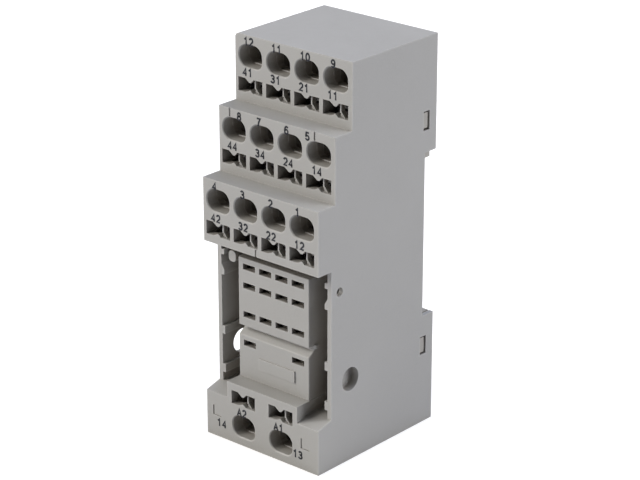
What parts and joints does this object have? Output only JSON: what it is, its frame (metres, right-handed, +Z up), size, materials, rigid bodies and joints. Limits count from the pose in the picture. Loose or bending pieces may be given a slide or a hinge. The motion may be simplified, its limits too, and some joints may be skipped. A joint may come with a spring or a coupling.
{
  "type": "plug-in relay socket",
  "caption": "Rail-mounted socket for a plug-in control relay: a narrow stepped block with rows of screwless clamp terminals, an open bay with blade slots, and a sprung rail latch behind.",
  "frame": {"origin": "under the middle of the part's box: middle of the width, middle of the depth, on the foot's lower face", "axes": "+Z up along the height, as the part stands on its foot; -Y is the terminal front; +Y is the rear, towards the rail; +X is to the right when looking at the front"},
  "size_m": [0.0306, 0.0362, 0.0845],
  "materials": {
    "housing_plastic": "light grey moulded polyamide, fine satin grain",
    "carrier_plastic": "light grey moulded polyamide, fine satin grain",
    "cover_plastic": "warm light grey moulded polyamide",
    "latch_plastic": "mid grey moulded acetal",
    "tinned_copper": "tin-plated copper alloy strip",
    "spring_steel": "bright stainless spring strip and wire"
  },
  "bodies": {
    "socket": {"housing": "housing_plastic", "contact_carrier": "carrier_plastic", "rear_cover": "cover_plastic", "latch_spring": "spring_steel", "contact_41": "tinned_copper", "contact_31": "tinned_copper", "contact_21": "tinned_copper", "contact_11": "tinned_copper", "contact_44": "tinned_copper", "contact_34": "tinned_copper", "contact_24": "tinned_copper", "contact_14": "tinned_copper", "contact_42": "tinned_copper", "contact_32": "tinned_copper", "contact_22": "tinned_copper", "contact_12": "tinned_copper", "contact_a2": "tinned_copper", "contact_a1": "tinned_copper", "clamp_spring_41": "spring_steel", "clamp_spring_31": "spring_steel", "clamp_spring_21": "spring_steel", "clamp_spring_11": "spring_steel", "clamp_spring_44": "spring_steel", "clamp_spring_34": "spring_steel", "clamp_spring_24": "spring_steel", "clamp_spring_14": "spring_steel", "clamp_spring_42": "spring_steel", "clamp_spring_32": "spring_steel", "clamp_spring_22": "spring_steel", "clamp_spring_12": "spring_steel", "clamp_spring_a2": "spring_steel", "clamp_spring_a1": "spring_steel"},
    "latch": {"rail_latch": "latch_plastic"},
    "leg_41": {"clamp_leg_41": "spring_steel"},
    "leg_31": {"clamp_leg_31": "spring_steel"},
    "leg_21": {"clamp_leg_21": "spring_steel"},
    "leg_11": {"clamp_leg_11": "spring_steel"},
    "leg_44": {"clamp_leg_44": "spring_steel"},
    "leg_34": {"clamp_leg_34": "spring_steel"},
    "leg_24": {"clamp_leg_24": "spring_steel"},
    "leg_14": {"clamp_leg_14": "spring_steel"},
    "leg_42": {"clamp_leg_42": "spring_steel"},
    "leg_32": {"clamp_leg_32": "spring_steel"},
    "leg_22": {"clamp_leg_22": "spring_steel"},
    "leg_12": {"clamp_leg_12": "spring_steel"},
    "leg_a2": {"clamp_leg_a2": "spring_steel"},
    "leg_a1": {"clamp_leg_a1": "spring_steel"}
  },
  "joints": [
    {"name": "rail_latch_slide", "type": "slide", "parent": "socket", "child": "latch", "axis": [0, 0, -1], "range_m": [0, 0.003], "stiffness_N_per_m": 1000, "deforming": ["latch_spring"]},
    {"name": "clamp_41", "type": "hinge", "parent": "socket", "child": "leg_41", "pos_m": [-0.01134, -0.0041, 0.07295], "axis": [-1, 0, 0], "range_deg": [0, 16], "stiffness_Nm_per_rad": 0.15},
    {"name": "clamp_31", "type": "hinge", "parent": "socket", "child": "leg_31", "pos_m": [-0.0039, -0.0041, 0.07295], "axis": [-1, 0, 0], "range_deg": [0, 16], "stiffness_Nm_per_rad": 0.15},
    {"name": "clamp_21", "type": "hinge", "parent": "socket", "child": "leg_21", "pos_m": [0.00356, -0.0041, 0.07295], "axis": [-1, 0, 0], "range_deg": [0, 16], "stiffness_Nm_per_rad": 0.15},
    {"name": "clamp_11", "type": "hinge", "parent": "socket", "child": "leg_11", "pos_m": [0.011, -0.0041, 0.07295], "axis": [-1, 0, 0], "range_deg": [0, 16], "stiffness_Nm_per_rad": 0.15},
    {"name": "clamp_44", "type": "hinge", "parent": "socket", "child": "leg_44", "pos_m": [-0.01134, -0.0091, 0.059], "axis": [-1, 0, 0], "range_deg": [0, 16], "stiffness_Nm_per_rad": 0.15},
    {"name": "clamp_34", "type": "hinge", "parent": "socket", "child": "leg_34", "pos_m": [-0.0039, -0.0091, 0.059], "axis": [-1, 0, 0], "range_deg": [0, 16], "stiffness_Nm_per_rad": 0.15},
    {"name": "clamp_24", "type": "hinge", "parent": "socket", "child": "leg_24", "pos_m": [0.00356, -0.0091, 0.059], "axis": [-1, 0, 0], "range_deg": [0, 16], "stiffness_Nm_per_rad": 0.15},
    {"name": "clamp_14", "type": "hinge", "parent": "socket", "child": "leg_14", "pos_m": [0.011, -0.0091, 0.059], "axis": [-1, 0, 0], "range_deg": [0, 16], "stiffness_Nm_per_rad": 0.15},
    {"name": "clamp_42", "type": "hinge", "parent": "socket", "child": "leg_42", "pos_m": [-0.01134, -0.0141, 0.04515], "axis": [-1, 0, 0], "range_deg": [0, 16], "stiffness_Nm_per_rad": 0.15},
    {"name": "clamp_32", "type": "hinge", "parent": "socket", "child": "leg_32", "pos_m": [-0.0039, -0.0141, 0.04515], "axis": [-1, 0, 0], "range_deg": [0, 16], "stiffness_Nm_per_rad": 0.15},
    {"name": "clamp_22", "type": "hinge", "parent": "socket", "child": "leg_22", "pos_m": [0.00356, -0.0141, 0.04515], "axis": [-1, 0, 0], "range_deg": [0, 16], "stiffness_Nm_per_rad": 0.15},
    {"name": "clamp_12", "type": "hinge", "parent": "socket", "child": "leg_12", "pos_m": [0.011, -0.0141, 0.04515], "axis": [-1, 0, 0], "range_deg": [0, 16], "stiffness_Nm_per_rad": 0.15},
    {"name": "clamp_a2", "type": "hinge", "parent": "socket", "child": "leg_a2", "pos_m": [-0.00512, -0.0141, 0.0114], "axis": [1, 0, 0], "range_deg": [0, 16], "stiffness_Nm_per_rad": 0.15},
    {"name": "clamp_a1", "type": "hinge", "parent": "socket", "child": "leg_a1", "pos_m": [0.00512, -0.0141, 0.0114], "axis": [1, 0, 0], "range_deg": [0, 16], "stiffness_Nm_per_rad": 0.15}
  ]
}
